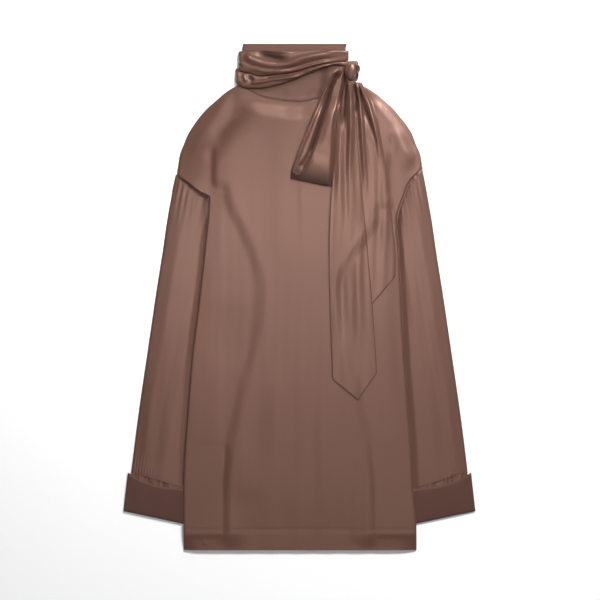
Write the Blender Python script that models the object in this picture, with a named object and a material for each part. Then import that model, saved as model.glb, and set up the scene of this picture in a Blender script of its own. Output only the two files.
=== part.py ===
"""A satin top with a wound and tied scarf collar, laid flat on its back with its sleeves down.

The frame is in metres: +X runs across to the right as seen from above, +Y from the hem to the
collar, +Z up off the surface. The tables are in millimetres: "across" is measured from the centre
line and "up" from the hem, along the surface. Every cloth is a wall with both of its faces drawn.
"""
import math
from collections import namedtuple

import bmesh
import bpy
from mathutils import Vector

MM = 0.001
LENGTH = 834.0          # hem to the collar's top edge
WALL = 1.0              # one cloth
SEAM = 0.3              # between pieces that are sewn together
REST = 0.5              # between cloths that lie on each other

HEM_DEPTH = 33.0        # the turned hem
HEM_WALL = 1.5          # two cloths, pressed
NECK_UP = 766.0         # where collar, shoulder and body meet
BODY_AIR = 2.9          # the most air between front and back
SLEEVE_THICK = 2.6      # a flattened sleeve where it is pressed
SLEEVE_AIR = 1.6        # what its visible strip stands up more
CUFF_THICK = 5.2        # four cloths
CUFF_LAYER = 1.3        # a turned-back cloth and its seam gap
WRAP_WALL = 2.4         # the strip is gathered, so several cloths lie together
WRAP_BACK = 1.4         # the same strip pressed flat behind the neck
COLLAR_BASE = WRAP_BACK + SEAM
COLLAR_THICK = 2.6
COLLAR_TOP = COLLAR_BASE + COLLAR_THICK
WRAP_BASE = COLLAR_TOP + REST

SATIN = (0.165, 0.086, 0.066)
REVERSE = (0.112, 0.055, 0.047)

Edge = namedtuple("Edge", "up across")
Place = namedtuple("Place", "across up")
Fold = namedtuple("Fold", "across up to_across to_up half_width height")

# The body's sides, from the hem up: side seam, armhole seam, shoulder.
BODY_LEFT = [Edge(0, -191), Edge(99, -191), Edge(165, -189), Edge(239, -184), Edge(330, -176),
             Edge(412, -166), Edge(495, -157), Edge(581, -150), Edge(592, -169), Edge(606, -186),
             Edge(619, -202), Edge(635, -200), Edge(652, -197), Edge(668, -191), Edge(685, -184),
             Edge(701, -174), Edge(716, -163), Edge(729, -151), Edge(742, -136), Edge(751, -126),
             Edge(759, -115), Edge(NECK_UP, -101)]
BODY_RIGHT = [Edge(0, 193), Edge(45, 192), Edge(106, 186), Edge(165, 184), Edge(248, 178),
              Edge(330, 172), Edge(431, 167), Edge(495, 164), Edge(546, 161), Edge(556, 163),
              Edge(580, 171), Edge(607, 182), Edge(632, 202), Edge(652, 199), Edge(668, 192),
              Edge(685, 186), Edge(701, 176), Edge(716, 164), Edge(729, 153), Edge(742, 138),
              Edge(751, 128), Edge(759, 116), Edge(NECK_UP, 103)]
# How far the front's neckline drops below the neck points.
NECK_DROP = [Place(-101, 0), Place(-82, 10), Place(-59, 20), Place(-37, 24), Place(-17, 27),
             Place(1, 27), Place(32, 21), Place(67, 10), Place(103, 0)]
# The soft fold that runs up from each underarm, and where it fades out.
UNDERARM_LEFT = [Edge(581, -150), Edge(619, -147), Edge(657, -144)]
UNDERARM_RIGHT = [Edge(546, 161), Edge(600, 152), Edge(650, 147)]
# The sleeves' inner edges, hidden under the body, as distances from the centre line.
HIDDEN_LEFT = [Edge(35, 156), Edge(97, 156), Edge(429, 98), Edge(581, 150)]
HIDDEN_RIGHT = [Edge(35, 156), Edge(97, 156), Edge(429, 98), Edge(546, 161)]

ARMHOLE_LEFT = [Place(-202, 619), Place(-186, 606), Place(-169, 592), Place(-150, 581),
                Place(-128, 520), Place(-98, 429)]
ARMHOLE_RIGHT = [Place(202, 632), Place(182, 607), Place(171, 580), Place(163, 556),
                 Place(161, 546), Place(135, 490), Place(98, 429)]
SLEEVE_OUTER = [Edge(129, 277), Edge(165, 273), Edge(248, 262), Edge(330, 250), Edge(412, 238),
                Edge(495, 225), Edge(544, 218), Edge(578, 212), Edge(602, 208), Edge(619, 204),
                Edge(632, 202)]
CUFF_SEAM = (Place(277, 129), Place(156, 92))
CUFF_FREE_EDGE = [Place(283, 127), Place(262, 115), Place(236, 106), Place(190, 100), Place(154, 89)]
CUFF_BOTTOM = (Place(290, 64), Place(154, 35))

COLLAR_LEFT = [Edge(768, -98), Edge(800, -95), Edge(LENGTH, -93)]
COLLAR_RIGHT = [Edge(768, 97), Edge(790, 81), Edge(802, 76), Edge(826, 76), Edge(LENGTH, 78)]

# The wound scarf as seen from above: its upper edge, the line between its turns, its lower edge.
WRAP_UPPER_EDGE = [Place(-100, 820), Place(-75, 822), Place(-60, 819), Place(-45, 811),
                   Place(-30, 805), Place(-22, 806), Place(-14, 816), Place(0, 822),
                   Place(40, 825), Place(81, 826)]
WRAP_SPLIT = [Place(-100, 788), Place(-86, 788), Place(-55, 780), Place(-8, 785), Place(24, 797),
              Place(59, 807), Place(95, 807)]
WRAP_LOWER_EDGE = [Place(-105, 771), Place(-86, 763), Place(-68, 762), Place(-37, 767),
                   Place(1, 777), Place(39, 791), Place(59, 796), Place(95, 790)]

# Main folds of the front, as ridges (height above 0) and troughs.
FRONT_FOLDS = [
    Fold(-30, 730, -20, 120, 45, 0.7),
    Fold(-60, 745, -140, 660, 16, -0.9),
    Fold(-95, 740, -150, 690, 12, 0.7),
    Fold(110, 735, 165, 660, 16, -0.8),
    Fold(-110, 400, -125, 180, 22, -0.6),
    Fold(110, 560, 130, 250, 20, 0.5),
]
SCARF_LOOP_LEFT = [Place(72, 788), Place(61, 784), Place(53, 774), Place(42, 752), Place(20, 702),
                   Place(-14, 623), Place(-16, 612)]
SCARF_LOOP_RIGHT = [Place(75, 772), Place(80, 709), Place(74, 650), Place(66, 598)]
TAIL_LONG_LEFT = [Edge(771, 77), Edge(735, 67), Edge(698, 60), Edge(645, 57), Edge(609, 54),
                  Edge(563, 50), Edge(492, 48), Edge(383, 50), Edge(281, 54)]
TAIL_LONG_RIGHT = [Edge(771, 88), Edge(718, 91), Edge(610, 101), Edge(459, 115), Edge(413, 119),
                   Edge(383, 121), Edge(313, 126), Edge(292, 127)]
TAIL_LONG_TIP = Place(0.58, 40)     # share of the width, and how far it reaches past the corners
TAIL_SHORT_LEFT = [Edge(770, 90), Edge(718, 86), Edge(610, 90), Edge(459, 92), Edge(430, 94)]
TAIL_SHORT_RIGHT = [Edge(770, 102), Edge(760, 108), Edge(733, 123), Edge(634, 141), Edge(610, 144),
                    Edge(535, 153), Edge(484, 158), Edge(451, 158)]
TAIL_SHORT_TIP = Place(0.35, 36)

KNOT_CENTRE = Vector((84.0, 787.5, 13.2))
KNOT_HALF = Vector((10.0, 15.5, 6.2))
CURL_CENTRE = Vector((93.8, 791.5, 13.4))
CURL_REACH = (4.0, 5.8)
CURL_THICK = 1.2


def ramp(value):
    """A soft step from 0 to 1."""
    value = min(1.0, max(0.0, value))
    return value * value * (3.0 - 2.0 * value)


def mix(start, end, share):
    return start + (end - start) * share


def read(table, key):
    """The second column of a two-column table, read between its rows."""
    rows = sorted(table)
    if key <= rows[0][0]:
        return rows[0][1]
    for low, high in zip(rows, rows[1:]):
        if key <= high[0]:
            return mix(low[1], high[1], (key - low[0]) / (high[0] - low[0]))
    return rows[-1][1]


def along(places, share):
    """The point that lies a share of the way along a line through places."""
    legs = [math.dist(a, b) for a, b in zip(places, places[1:])]
    left = share * sum(legs)
    for start, end, leg in zip(places, places[1:], legs):
        if left <= leg or end is places[-1]:
            part = left / leg
            return Place(mix(start[0], end[0], part), mix(start[1], end[1], part))
        left -= leg
    return places[-1]


def steps(count):
    return [i / count for i in range(count + 1)]


def fold_height(folds, across, up):
    """Sum of soft ridges and troughs, each tapered towards its ends."""
    total = 0.0
    for fold in folds:
        run = Vector((fold.to_across - fold.across, fold.to_up - fold.up))
        offset = Vector((across - fold.across, up - fold.up))
        share = offset.dot(run) / run.length_squared
        if 0.0 < share < 1.0:
            side = abs(offset.x * run.y - offset.y * run.x) / run.length / fold.half_width
            total += fold.height * ramp(1.0 - side) * math.sin(math.pi * share) ** 0.5
    return total


def under_body(across, up):
    """What lifts the back off the surface: the sleeves and cuffs under it, and the wound neck."""
    hidden = HIDDEN_LEFT if across < 0 else HIDDEN_RIGHT
    over_sleeve = ramp((abs(across) - read(hidden, up) + 45.0) / 24.0)
    over_sleeve *= ramp((hidden[-1].up + 32.0 - up) / 20.0) * ramp((up + 2.0) / 34.0)
    sleeve = SLEEVE_THICK + SEAM + (CUFF_THICK - SLEEVE_THICK) * ramp((186.0 - up) / 36.0)
    neck = COLLAR_BASE * ramp((up - 728.0) / 30.0) * ramp((118.0 - abs(across)) / 24.0)
    return max(over_sleeve * sleeve, neck)


def body_air(across, up):
    """The air between front and back, least at the side seams, shoulders and neckline."""
    left, right = read(BODY_LEFT, up), read(BODY_RIGHT, up)
    edge = ramp((across - left) / 22.0) * ramp((right - across) / 22.0)
    tuck_left = 1.0 - ramp((across - read(UNDERARM_LEFT, up)) / 9.0)
    tuck_right = 1.0 - ramp((read(UNDERARM_RIGHT, up) - across) / 9.0)
    tuck = 1.0
    if up > UNDERARM_LEFT[0].up:
        tuck -= tuck_left * ramp((672.0 - up) / 45.0)
    if up > UNDERARM_RIGHT[0].up:
        tuck -= tuck_right * ramp((660.0 - up) / 45.0)
    neck = 1.0 - ramp((up - 684.0) / 56.0) * ramp((135.0 - abs(across)) / 30.0)
    room = max(0.15, BODY_AIR - 0.75 * under_body(across, up))
    return REST + room * edge * max(0.0, tuck) * neck


def body_wall(up):
    return HEM_WALL if up <= HEM_DEPTH else WALL


def back_top(across, up):
    return under_body(across, up) + body_wall(up)


def front_top(across, up):
    creases = fold_height(FRONT_FOLDS, across, up) * min(1.0, body_air(across, up) - REST)
    return back_top(across, up) + body_air(across, up) + creases + body_wall(up)


def sleeve_top(across, up, hidden_by):
    """A sleeve's upper face: it stands up a little between its outer fold and the body."""
    outer = read(SLEEVE_OUTER, up)
    share = (outer - abs(across)) / max(1.0, outer - abs(hidden_by))
    return SLEEVE_THICK + SLEEVE_AIR * math.sin(math.pi * min(1.0, max(0.0, share)))


def to_frame(across, up, height):
    return Vector((across, up - LENGTH / 2.0, height)) * MM


def material(name, colour, roughness):
    made = bpy.data.materials.new(name)
    made.use_nodes = True
    shader = made.node_tree.nodes["Principled BSDF"]
    shader.inputs["Base Color"].default_value = (*colour, 1.0)
    shader.inputs["Roughness"].default_value = roughness
    shader.inputs["Metallic"].default_value = 0.0
    return made


def solid(name, rings, colour, roughness, round_and_round=False):
    """Joins equal rings of points into one closed body, open-ended rings with a cap at each end."""
    count = len(rings[0])
    points = [point for ring in rings for point in ring]
    faces = []
    last = len(rings) if round_and_round else len(rings) - 1
    for row in range(last):
        here, there = row * count, ((row + 1) % len(rings)) * count
        for i in range(count):
            j = (i + 1) % count
            faces.append((here + i, here + j, there + j, there + i))
    if not round_and_round:
        end = (len(rings) - 1) * count
        for i in range(count // 2 - 1):
            far = count - 1 - i
            faces.append((i, far, far - 1, i + 1))
            faces.append((end + i, end + i + 1, end + far - 1, end + far))
    mesh = bpy.data.meshes.new(name)
    mesh.from_pydata(points, [], faces)
    shape = bmesh.new()
    shape.from_mesh(mesh)
    bmesh.ops.recalc_face_normals(shape, faces=shape.faces)
    if shape.calc_volume(signed=True) < 0.0:
        bmesh.ops.reverse_faces(shape, faces=shape.faces)
    shape.to_mesh(mesh)
    shape.free()
    mesh.shade_smooth()
    mesh.set_sharp_from_angle(angle=math.radians(50.0))
    piece = bpy.data.objects.new(name, mesh)
    bpy.context.collection.objects.link(piece)
    mesh.materials.append(material(name, colour, roughness))
    return piece


def wall_ring(upper, lower):
    """A section of cloth: its upper points one way and its lower points back."""
    return list(upper) + list(reversed(lower))


def body_place(share, row_up, drop):
    across = mix(read(BODY_LEFT, row_up), read(BODY_RIGHT, row_up), share)
    fade = ramp((row_up - 600.0) / (NECK_UP - 600.0))
    return Place(across, row_up - fade * read(drop, across))


def body_panel(name, rows, columns, drop, upper, lower):
    rings = []
    for row_up in rows:
        places = [body_place(share, row_up, drop) for share in columns]
        top = [to_frame(p.across, p.up, upper(p.across, p.up)) for p in places]
        bottom = [to_frame(p.across, p.up, lower(p.across, p.up)) for p in places]
        rings.append(wall_ring(top, bottom))
    return solid(name, rings, SATIN, 0.4)


def front_and_back():
    side = [0.0, 0.02]
    columns = side + [0.05 * i for i in range(1, 20)] + [0.98, 1.0]
    rows = [0, 14, HEM_DEPTH, HEM_DEPTH + 1, 75, 112, 150, 190, 250, 325, 385, 429, 460, 495, 546,
            556, 581, 592, 607, 619, 632, 652, 676, 701, 722, 742, 754, NECK_UP]
    flat_neck = [Place(-101, 2), Place(103, 2)]

    def front_under(across, up):
        return front_top(across, up) - body_wall(up)

    body_panel("back", rows, columns, flat_neck, back_top, under_body)
    body_panel("front", rows, columns, NECK_DROP, front_top, front_under)


def flat_ring(line, inset, base, tops):
    """A ring around a flattened tube, sunk by inset into it from every side."""
    first, last = line[0], line[-1]
    middle = Place(mix(first[0], last[0], 0.5), mix(first[1], last[1], 0.5))
    share = 2.0 * inset / math.dist(first, last)
    inner = [Place(mix(p[0], middle[0], share), mix(p[1], middle[1], share)) for p in line]
    upper = [to_frame(p.across, p.up, top - inset) for p, top in zip(inner, tops)]
    lower = [to_frame(p.across, p.up, base + inset) for p in inner]
    return wall_ring(upper, lower)


def sleeve(name, side, armhole, body_edge):
    """A flattened tube from the armhole to the cuff, with gathers at its head."""
    columns = [0.03 * i for i in range(11)] + [0.38, 0.48, 0.6, 0.75, 0.9, 1.0]
    rows = [0.0, 0.03, 0.07, 0.12, 0.18, 0.26, 0.36, 0.48, 0.6, 0.72, 0.84, 0.94, 1.0]
    gather_pitch = 0.06
    gather_height = 0.8
    seam_end = [Place(side * p.across, p.up + SEAM) for p in CUFF_SEAM]
    head = [Place(p.across + 2.0 * SEAM * side, p.up - SEAM) for p in armhole]
    outer_side = [Place(side * read(SLEEVE_OUTER, up), up)
                  for up in (armhole[0].up - SEAM, 578, 544, 495, 412, 330, 248, 165, 129 + SEAM)]
    inner_side = [head[-1], seam_end[-1]]

    def place(share, run):
        outer, inner = along(outer_side, run), along(inner_side, run)
        above, below = along(head, share), along(seam_end, share)
        point = []
        for axis in (0, 1):
            straight = mix(outer[axis], inner[axis], share)
            at_head = above[axis] - mix(head[0][axis], head[-1][axis], share)
            at_cuff = below[axis] - mix(seam_end[0][axis], seam_end[-1][axis], share)
            point.append(straight + (1.0 - run) * at_head + run * at_cuff)
        return Place(*point)

    def ring(run, inset):
        line = [place(share, run) for share in columns]
        raised = CUFF_LAYER * ramp((run - 0.93) / 0.07)
        tops = []
        for share, p in zip(columns, line):
            wave = 0.5 + 0.5 * math.cos(2.0 * math.pi * share / gather_pitch)
            gather = gather_height * wave * ramp((0.3 - share) / 0.06) * ramp((0.16 - run) / 0.16)
            edge = read(body_edge, min(p.up, 540.0))
            tops.append(sleeve_top(p.across, p.up, edge) + raised + gather)
        return flat_ring(line, inset, raised, tops)

    outside = [ring(run, 0.0) for run in rows]
    inside = [ring(run, WALL) for run in reversed(rows)]
    return solid(name, outside + inside, SATIN, 0.4, round_and_round=True)


def cuff(name, side):
    """A band turned back over itself: one wall runs down from the seam, round the end and up."""
    columns = steps(10)
    bottom = [Place(side * p.across, p.up) for p in CUFF_BOTTOM]
    seam = [Place(side * p.across, p.up) for p in CUFF_SEAM]
    free = [Place(side * p.across, p.up) for p in CUFF_FREE_EDGE]
    # Each row: which upper line, share of the way down, depth into the cuff.
    profile = [(free, 0.0, 0.0), (free, 0.35, 0.0), (free, 0.7, 0.0), (free, 0.97, 0.0),
               (free, 1.0, 0.6), (free, 1.0, 1.7), (seam, 0.97, 2.3), (seam, 0.5, 2.3),
               (seam, 0.0, 2.3), (seam, 0.0, 1.3), (seam, 0.5, 1.3), (seam, 0.95, 1.3),
               (free, 0.94, 1.0), (free, 0.5, 1.0), (free, 0.0, 1.0)]
    rings = []
    for upper_line, down, inset in profile:
        line = []
        for share in columns:
            start, end = along(upper_line, share), along(bottom, share)
            line.append(Place(mix(start[0], end[0], down), mix(start[1], end[1], down)))
        rings.append(flat_ring(line, inset, 0.0, [CUFF_THICK] * len(line)))
    return solid(name, rings, REVERSE, 0.6, round_and_round=True)


def collar():
    """A flattened funnel: its front ends at the neckline and its back runs straight across."""
    columns = steps(16)
    rows = [0.0, 0.25, 0.5, 0.75, 1.0]

    def ring(run, inset):
        upper, lower = [], []
        for share in columns:
            for line, drop in ((upper, True), (lower, False)):
                row_up = mix(LENGTH, NECK_UP + SEAM, run)
                left, right = read(COLLAR_LEFT, row_up) + inset, read(COLLAR_RIGHT, row_up) - inset
                across = mix(left, right, share)
                fall = read(NECK_DROP, across) * run if drop else 1.0 * run
                height = COLLAR_TOP - inset if drop else COLLAR_BASE + inset
                line.append(to_frame(across, row_up - fall, height))
        return wall_ring(upper, lower)

    outside = [ring(run, 0.0) for run in rows]
    inside = [ring(run, WALL) for run in reversed(rows)]
    return solid("collar", outside + inside, SATIN, 0.4, round_and_round=True)


def wrap(name, upper_edge, lower_edge, ends, behind, ridges, height):
    """One turn of the scarf: over the collar's front, round its sides and flat behind it."""
    left, right = ends
    across_band = steps(6)
    corner = 4.0
    count = 18

    def top(across, share):
        fall = ramp((62.0 - across) / 60.0)
        arch = math.sin(math.pi * share) ** 0.8
        lift = sum(r.height * ramp(1.0 - abs(share - mix(r.across, r.to_across, place(across)))
                                   / r.half_width) for r in ridges)
        return WRAP_BASE + 2.2 + (height * arch + lift) * (0.25 + 0.75 * fall)

    def place(across):
        return (across - left) / (right - left)

    def front(across):
        low, high = read(lower_edge, across), read(upper_edge, across)
        line = [(mix(low, high, share), top(across, share)) for share in across_band]
        outer = [to_frame(across, up, tall) for up, tall in line]
        inner = [to_frame(across, up, max(WRAP_BASE, tall - WRAP_WALL)) for up, tall in line]
        return wall_ring(outer, inner)

    def turn(across, centre, sign, angle):
        low, high = read(lower_edge, across), read(upper_edge, across)
        round_share = (1.0 - math.sin(angle)) / 2.0
        outer, inner = [], []
        for share in across_band:
            up = mix(mix(low, high, share), mix(behind[0], behind[1], share), round_share)
            half = top(across, share) / 2.0
            out = (centre + sign * corner * math.cos(angle), half + half * math.sin(angle))
            thin = corner - WRAP_BACK
            low_half = half - WRAP_BACK
            inn = (centre + sign * thin * math.cos(angle), half + low_half * math.sin(angle))
            outer.append(to_frame(out[0], up, out[1]))
            inner.append(to_frame(inn[0], up, inn[1]))
        return wall_ring(outer, inner)

    def back(across):
        line = [mix(behind[0], behind[1], share) for share in across_band]
        outer = [to_frame(across, up, 0.0) for up in line]
        inner = [to_frame(across, up, WRAP_BACK) for up in line]
        return wall_ring(outer, inner)

    start, end = left + corner, right - corner
    angles = [math.radians(a) for a in (90, 50, 15, -15, -50, -90)]
    rings = [front(mix(start, end, share)) for share in steps(count)[1:-1]]
    rings += [turn(end, end, 1.0, angle) for angle in angles]
    rings += [back(mix(end, start, share)) for share in steps(6)[1:-1]]
    rings += [turn(start, start, -1.0, angle) for angle in reversed(angles)]
    return solid(name, rings, SATIN, 0.35, round_and_round=True)


def scarf_wraps():
    gap = 0.8
    split_above = [Place(p.across, p.up + gap) for p in WRAP_SPLIT]
    ridges_upper = [Fold(0.75, 0, 0.45, 0, 0.22, 1.2), Fold(0.25, 0, 0.2, 0, 0.16, 0.9)]
    ridges_lower = [Fold(0.6, 0, 0.5, 0, 0.3, 1.0)]
    wrap("scarf_wrap_upper", WRAP_UPPER_EDGE, split_above, (-100.0, 81.0), (808.5, 822.0),
         ridges_upper, 2.4)
    wrap("scarf_wrap_lower", WRAP_SPLIT, WRAP_LOWER_EDGE, (-105.0, 97.0), (773.0, 795.0),
         ridges_lower, 1.8)


def scarf_knot():
    """The tie itself: a fat turn of satin with furrows that run round it, and the curl beside it."""
    around, levels = 18, 9
    rings = []
    for level in range(1, levels):
        tilt = math.pi * level / levels - math.pi / 2.0
        ring = []
        for i in range(around):
            turn = 2.0 * math.pi * i / around
            unit = Vector((math.cos(tilt) * math.cos(turn), math.sin(tilt),
                           math.cos(tilt) * math.sin(turn)))
            furrow = 1.0 - 0.09 * (0.5 + 0.5 * math.cos(3.0 * turn + 2.2 * unit.y))
            spot = KNOT_CENTRE + Vector((KNOT_HALF.x * unit.x * furrow, KNOT_HALF.y * unit.y,
                                         KNOT_HALF.z * unit.z * furrow))
            ring.append(to_frame(spot.x, spot.y, spot.z))
        rings.append(ring)
    solid("scarf_knot", rings, SATIN, 0.35)
    sides = 8
    rings = []
    for share in steps(8):
        turn = math.radians(mix(-95.0, 95.0, share))
        centre = CURL_CENTRE + Vector((CURL_REACH[0] * math.cos(turn),
                                       CURL_REACH[1] * math.sin(turn), 0.0))
        outward = Vector((math.cos(turn), math.sin(turn), 0.0))
        ring = []
        for i in range(sides):
            angle = 2.0 * math.pi * (i + 0.5) / sides
            spot = centre + CURL_THICK * (outward * math.cos(angle)
                                          + Vector((0.0, 0.0, 2.2)) * math.sin(angle))
            ring.append(to_frame(spot.x, spot.y, spot.z))
        rings.append(ring)
    solid("scarf_curl", rings, SATIN, 0.35)


def scarf_loop():
    """The bow's loop: a front cloth with one deep pleat, a roll at its end, and the cloth behind."""
    columns = steps(12)
    fall = [0.0, 0.06, 0.13, 0.21, 0.3, 0.4, 0.5, 0.6, 0.7, 0.79, 0.87, 0.93]
    pleat_half = 0.13

    def place(share, run):
        left, right = along(SCARF_LOOP_LEFT, run), along(SCARF_LOOP_RIGHT, run)
        return Place(mix(left[0], right[0], share), mix(left[1], right[1], share))

    def rise(share, run):
        """Height of the front cloth over what it lies on."""
        crown = mix(6.0, 5.4, ramp(run / 0.5)) + 1.6 * ramp((run - 0.6) / 0.3)
        spot = place(share, run)
        pressed = read(TAIL_LONG_LEFT, spot.up) - 2.0
        side = ramp((share + 0.12) / 0.2) * ramp((pressed - spot.across) / 14.0)
        pleat = ramp(1.0 - abs(share - mix(0.12, 0.28, run)) / pleat_half)
        return 3.2 + (crown - 3.2) * side * (1.0 - 0.85 * pleat)

    def ground(p):
        return front_top(p.across, p.up) + REST + 0.5

    rings = []
    for run in fall:
        places = [place(share, run) for share in columns]
        tops = [ground(p) + rise(share, run) for share, p in zip(columns, places)]
        rings.append(wall_ring([to_frame(p.across, p.up, t) for p, t in zip(places, tops)],
                               [to_frame(p.across, p.up, t - WALL) for p, t in zip(places, tops)]))
    for angle in (60.0, 20.0, -20.0, -60.0):
        turn = math.radians(angle)
        outer, inner = [], []
        for share in columns:
            p, q = place(share, 0.93), place(share, 1.0)
            low = ground(p)
            half = rise(share, 0.93) / 2.0
            reach = math.cos(turn)
            outer.append(to_frame(mix(p.across, q.across, reach), mix(p.up, q.up, reach),
                                  low + half + half * math.sin(turn)))
            reach *= 0.86
            inner.append(to_frame(mix(p.across, q.across, reach), mix(p.up, q.up, reach),
                                  low + half + (half - WALL) * math.sin(turn)))
        rings.append(wall_ring(outer, inner))
    for run in (0.93, 0.75, 0.5, 0.3, 0.15):
        places = [place(share, run) for share in columns]
        rings.append(wall_ring([to_frame(p.across, p.up, ground(p)) for p in places],
                               [to_frame(p.across, p.up, ground(p) + WALL) for p in places]))
    return solid("scarf_loop", rings, SATIN, 0.35)


def tail(name, rows, left, right, tip, tip_run, columns, ground, rise):
    """A hanging end of the scarf with fan folds below the knot and a point at its foot."""
    rings = []
    for run in rows:
        left_up = mix(left[0].up, left[-1].up, run)
        right_up = mix(right[0].up, right[-1].up, run)
        places = []
        for share in columns:
            across = mix(read(left, left_up), read(right, right_up), share)
            slope = share / tip.across if share < tip.across else (1.0 - share) / (1.0 - tip.across)
            point = tip.up * slope * ramp((run - tip_run) / (1.0 - tip_run))
            places.append(Place(across, mix(left_up, right_up, share) - point))
        tops = [ground(p, share) + rise(share, run) for share, p in zip(columns, places)]
        rings.append(wall_ring([to_frame(p.across, p.up, t + 1.2) for p, t in zip(places, tops)],
                               [to_frame(p.across, p.up, t) for p, t in zip(places, tops)]))
    return solid(name, rings, SATIN, 0.35)


def scarf_tails():
    def short_ground(p, share):
        return front_top(p.across, p.up) + REST + 0.3 + 1.2 * ramp((p.up - 715.0) / 45.0)

    def short_rise(share, run):
        waves = 0.5 - 0.5 * math.cos(2.0 * math.pi * 2.0 * share)
        return 1.3 * waves * ramp((0.55 - run) / 0.55)

    def long_ground(p, share):
        over_loop = 4.3 * ramp((p.up - 556.0) / 36.0) * (1.0 - 0.4 * ramp((share - 0.7) / 0.3))
        over_short = 2.1 * ramp((p.up - 375.0) / 28.0) * ramp(share / 0.6)
        near_knot = 1.2 * ramp((p.up - 705.0) / 50.0)
        return front_top(p.across, p.up) + REST + 0.3 + max(over_loop, over_short) + near_knot

    def long_rise(share, run):
        waves = 0.5 - 0.5 * math.cos(2.0 * math.pi * 3.0 * share)
        return 2.4 * waves * ramp((0.42 - run) / 0.42)

    rows = [0.0, 0.03, 0.06, 0.1, 0.15, 0.2, 0.26, 0.33, 0.4, 0.45, 0.52, 0.6, 0.68, 0.75, 0.82,
            0.88, 0.94, 1.0]
    tail("scarf_tail_short", rows[:9] + [0.5, 0.62, 0.75, 0.88, 1.0], TAIL_SHORT_LEFT,
         TAIL_SHORT_RIGHT, TAIL_SHORT_TIP, 0.8, steps(8), short_ground, short_rise)
    tail("scarf_tail_long", rows, TAIL_LONG_LEFT, TAIL_LONG_RIGHT, TAIL_LONG_TIP, 0.85,
         [0.0, 0.083, 0.167, 0.25, 0.333, 0.417, 0.5, 0.58, 0.667, 0.75, 0.833, 0.917, 1.0],
         long_ground, long_rise)


def clear_scene():
    for item in list(bpy.data.objects):
        bpy.data.objects.remove(item)


def main():
    clear_scene()
    front_and_back()
    sleeve("sleeve_left", -1.0, ARMHOLE_LEFT, BODY_LEFT)
    sleeve("sleeve_right", 1.0, ARMHOLE_RIGHT, BODY_RIGHT)
    cuff("cuff_left", -1.0)
    cuff("cuff_right", 1.0)
    collar()
    scarf_wraps()
    scarf_knot()
    scarf_loop()
    scarf_tails()


main()
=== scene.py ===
import math
from collections import namedtuple

import bpy
import numpy as np
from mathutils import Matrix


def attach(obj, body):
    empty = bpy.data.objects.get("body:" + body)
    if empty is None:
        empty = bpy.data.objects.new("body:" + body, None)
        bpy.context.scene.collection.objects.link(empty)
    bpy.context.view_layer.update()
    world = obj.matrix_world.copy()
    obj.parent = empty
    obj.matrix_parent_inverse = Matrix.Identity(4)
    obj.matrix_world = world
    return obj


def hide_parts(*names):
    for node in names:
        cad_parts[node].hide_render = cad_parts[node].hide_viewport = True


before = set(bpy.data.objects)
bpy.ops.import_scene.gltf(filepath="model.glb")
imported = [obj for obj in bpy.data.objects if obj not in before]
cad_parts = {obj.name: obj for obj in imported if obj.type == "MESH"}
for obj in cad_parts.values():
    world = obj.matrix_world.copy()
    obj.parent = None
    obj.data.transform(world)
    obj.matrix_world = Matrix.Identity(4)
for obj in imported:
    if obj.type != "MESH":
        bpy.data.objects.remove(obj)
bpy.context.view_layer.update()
bpy.ops.object.select_all(action="DESELECT")


# The back: one panel of satin with its shoulders, lying on the surface. The hidden parts of the
# sleeves and cuffs lie under its sides and the scarf's turns under its neck, and all lift it.

MM = 0.001
LENGTH = 834.0
CLOTH = 0.6
NECK_UP = 766.0
HEM_DEPTH = 33.0
REST = 0.5
BACK_WALL = 1.0
SLEEVE_THICK = 2.6
CUFF_THICK = 5.2
UNDER_GAP = 0.3
COLLAR_BASE = 1.7
NECK_START = 728.0
NECK_HALF = 118.0
Edge = namedtuple("Edge", "up across")
Place = namedtuple("Place", "across up")
BODY_LEFT = [Edge(0, -191), Edge(99, -191), Edge(165, -189), Edge(239, -184), Edge(330, -176),
             Edge(412, -166), Edge(495, -157), Edge(581, -150), Edge(592, -169), Edge(606, -186),
             Edge(619, -202), Edge(635, -200), Edge(652, -197), Edge(668, -191), Edge(685, -184),
             Edge(701, -174), Edge(716, -163), Edge(729, -151), Edge(742, -136), Edge(751, -126),
             Edge(759, -115), Edge(NECK_UP, -101)]
BODY_RIGHT = [Edge(0, 193), Edge(45, 192), Edge(106, 186), Edge(165, 184), Edge(248, 178),
              Edge(330, 172), Edge(431, 167), Edge(495, 164), Edge(546, 161), Edge(556, 163),
              Edge(580, 171), Edge(607, 182), Edge(632, 202), Edge(652, 199), Edge(668, 192),
              Edge(685, 186), Edge(701, 176), Edge(716, 164), Edge(729, 153), Edge(742, 138),
              Edge(751, 128), Edge(759, 116), Edge(NECK_UP, 103)]
HIDDEN_LEFT = [Edge(35, 156), Edge(97, 156), Edge(429, 98), Edge(581, 150)]
HIDDEN_RIGHT = [Edge(35, 156), Edge(97, 156), Edge(429, 98), Edge(546, 161)]
BACK_ROWS = 130
BACK_COLUMNS = 70
SATIN_FACE = (0.094, 0.043, 0.031)
SATIN_SHADE = (0.066, 0.029, 0.020)
# Painted shade: how dark the satin is painted where the painted-shade attribute is full, as a share of
# its shade colour, and how rough it is made there so its sheen fades.
PAINTED_SHADE_SHARE = 0.12
PAINTED_SHADE_ROUGHNESS = 0.95
ROUGHNESS_CHANGE = 0.08
SHINE_TINT = (1.0, 0.64, 0.53, 1.0)
SHEEN_TINT = (1.0, 0.62, 0.50, 1.0)
Grain = namedtuple("Grain", "across along detail")
SLUBS = Grain(1.8, 34.0, 2.0)
WEAVE = Grain(0.4, 1.5, 1.0)
SHADE_CHANGE = Grain(60.0, 150.0, 2.0)
THREAD_RELIEF = 0.35


def soft(value):
    """A soft step from 0 to 1."""
    value = np.clip(value, 0.0, 1.0)
    return value * value * (3.0 - 2.0 * value)


def mix(start, end, share):
    return start + (end - start) * share


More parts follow.
